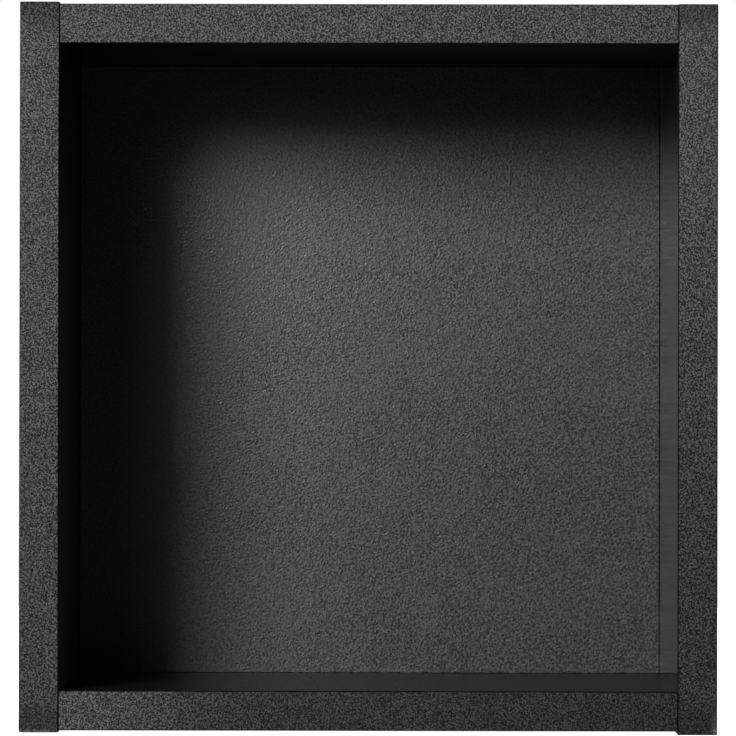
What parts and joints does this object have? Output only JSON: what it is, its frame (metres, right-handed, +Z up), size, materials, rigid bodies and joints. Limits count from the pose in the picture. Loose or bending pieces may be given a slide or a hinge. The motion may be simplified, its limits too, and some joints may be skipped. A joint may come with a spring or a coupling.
{
  "type": "bathroom shelf",
  "caption": "Open box shelf for a bathroom wall, made of black pearl-textured boards with a let-in back and keyhole hangers behind",
  "frame": {"origin": "the middle of the rear face, on the wall", "axes": "+X to the right as seen from the front, +Y from the front to the wall, +Z up"},
  "size_m": [0.28, 0.2, 0.2936],
  "materials": {
    "black_board": "satin",
    "black_edging": "satin",
    "beech": "matte",
    "plated_steel": "satin",
    "cast_zinc": "matte"
  },
  "bodies": {
    "root": {"left_side_board": "black_board", "right_side_board": "black_board", "top_board": "black_board", "bottom_board": "black_board", "back_board": "black_board", "left_side_front_edging": "black_edging", "left_side_rear_edging": "black_edging", "left_side_top_edging": "black_edging", "left_side_bottom_edging": "black_edging", "right_side_front_edging": "black_edging", "right_side_rear_edging": "black_edging", "right_side_top_edging": "black_edging", "right_side_bottom_edging": "black_edging", "top_front_edging": "black_edging", "top_rear_edging": "black_edging", "bottom_front_edging": "black_edging", "bottom_rear_edging": "black_edging", "corner_dowels": "beech", "back_dowels": "beech", "cam_bolts": "plated_steel", "cam_locks": "cast_zinc", "cam_covers": "black_edging", "hanger_plates": "plated_steel", "hanger_screws": "plated_steel"}
  },
  "joints": []
}
